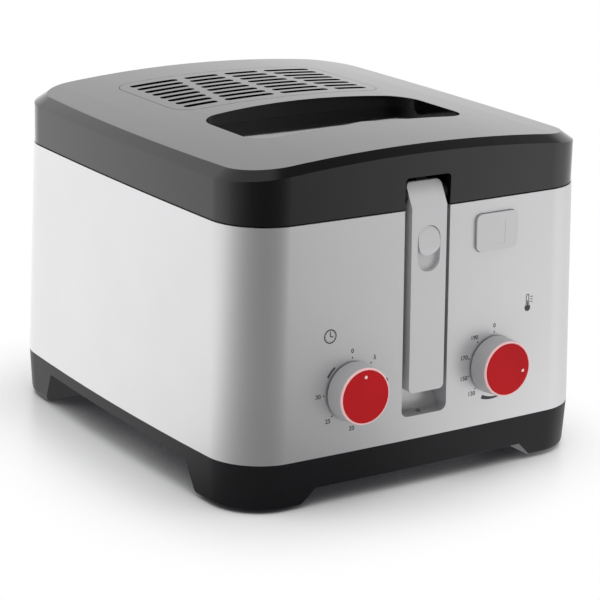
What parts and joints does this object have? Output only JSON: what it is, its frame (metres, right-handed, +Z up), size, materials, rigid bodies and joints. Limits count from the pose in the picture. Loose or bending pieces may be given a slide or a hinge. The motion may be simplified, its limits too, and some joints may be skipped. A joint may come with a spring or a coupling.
{
  "type": "deep fryer",
  "caption": "Box-shaped deep fryer with a hinged lid, a viewing window, a slotted filter cover, a folding basket handle, control knobs and a lid release button.",
  "frame": {"origin": "middle of the part's plan, on the surface it stands on", "axes": "+Z up, the front with the controls faces -Y, +X to the right seen from the front"},
  "size_m": [0.296, 0.3535, 0.2322],
  "materials": {
    "pearl_plastic": "light silver-grey, satin",
    "grey_plastic": "light grey, fine satin",
    "gloss_black": "polished black",
    "satin_black": "satin black",
    "rubber_black": "matt",
    "coated_bowl": "dark non-stick coating",
    "steel": "bright sheet and wire",
    "aluminium_plate": "cast, machined face",
    "element_sheath": "darkened sheath",
    "copper_bulb": "copper",
    "bakelite": "moulded resin",
    "ceramic": "white moulding",
    "wire_cover": "insulated wire",
    "knob_grey": "light grey",
    "knob_rim": "pale red edge",
    "knob_red": "red",
    "window": "clear pane over a dark inside",
    "fleece": "filter fleece",
    "charcoal": "charcoal foam"
  },
  "bodies": {
    "root": {"housing": "pearl_plastic", "base": "satin_black", "foot_pads": "rubber_black", "base_screws": "steel", "deck_ring": "satin_black", "bowl": "coated_bowl", "heat_shield": "steel", "heater_plate": "aluminium_plate", "heating_element": "element_sheath", "heater_posts": "steel", "thermostat": "bakelite", "thermostat_bulb": "copper_bulb", "timer": "steel", "thermal_fuse": "ceramic", "terminal_block": "ceramic", "wiring": "wire_cover", "cord_gland": "satin_black", "gland_nut": "satin_black", "lift_bracket": "satin_black", "handle_shaft": "steel", "lever_shaft": "steel", "hinge_pins": "steel", "lid_springs": "steel", "button_spring": "steel"},
    "lid": {"lid_shell": "gloss_black", "lid_liner": "steel", "lid_gasket": "rubber_black", "window_seal": "rubber_black", "window_glass": "window", "filter_tray": "satin_black", "grease_filter": "fleece", "charcoal_filter": "charcoal", "lid_catch": "steel", "liner_screws": "steel"},
    "filter_cover": {"filter_cover": "gloss_black"},
    "handle": {"handle_grip": "grey_plastic", "handle_gear": "satin_black", "thumb_spring": "steel"},
    "thumb_slide": {"thumb_slide": "grey_plastic"},
    "lever": {"lift_lever": "satin_black", "crank_pin": "steel"},
    "basket": {"basket_frame": "steel", "basket_mesh": "steel", "basket_bracket": "steel"},
    "time_knob": {"time_knob": "knob_grey", "time_knob_rim": "knob_rim", "time_knob_cap": "knob_red", "time_shaft": "steel"},
    "temp_knob": {"temp_knob": "knob_grey", "temp_knob_rim": "knob_rim", "temp_knob_cap": "knob_red", "temp_shaft": "steel"},
    "button": {"release_button": "grey_plastic", "latch_slide": "steel"}
  },
  "joints": [
    {"name": "lid_hinge", "type": "hinge", "parent": "root", "child": "lid", "pos_m": [0, 0.1687, 0.194], "axis": [-1, 0, 0], "range_deg": [0, 80]},
    {"name": "filter_cover_lift", "type": "slide", "parent": "lid", "child": "filter_cover", "axis": [0, 0, 1], "range_m": [0, 0.03]},
    {"name": "handle_fold", "type": "hinge", "parent": "root", "child": "handle", "pos_m": [0, -0.149, 0.1985], "axis": [-1, 0, 0], "range_deg": [0, 90]},
    {"name": "thumb_slide_travel", "type": "slide", "parent": "handle", "child": "thumb_slide", "axis": [0, -0.032, -0.9995], "range_m": [0, 0.006], "stiffness_N_per_m": 300, "springref_m": -0.002},
    {"name": "lever_swing", "type": "hinge", "parent": "root", "child": "lever", "pos_m": [0, -0.129, 0.1985], "axis": [1, 0, 0], "range_deg": [0, 90]},
    {"name": "basket_lift", "type": "slide", "parent": "root", "child": "basket", "axis": [0, 0, 1], "range_m": [0, 0.04243]},
    {"name": "time_turn", "type": "hinge", "parent": "root", "child": "time_knob", "pos_m": [-0.0578, -0.16025, 0.0755], "axis": [0, 0.9995, -0.032], "range_deg": [0, 300]},
    {"name": "temp_turn", "type": "hinge", "parent": "root", "child": "temp_knob", "pos_m": [0.0578, -0.16025, 0.0755], "axis": [0, 0.9995, -0.032], "range_deg": [0, 270]},
    {"name": "button_press", "type": "slide", "parent": "root", "child": "button", "axis": [0, 0.9995, -0.032], "range_m": [0, 0.004], "stiffness_N_per_m": 400, "springref_m": -0.002}
  ],
  "couplings": [
    {"joint": "lever_swing", "follows": "handle_fold", "ratio": 1},
    {"joint": "basket_lift", "follows": "handle_fold", "m_per_rad": 0.027009}
  ]
}
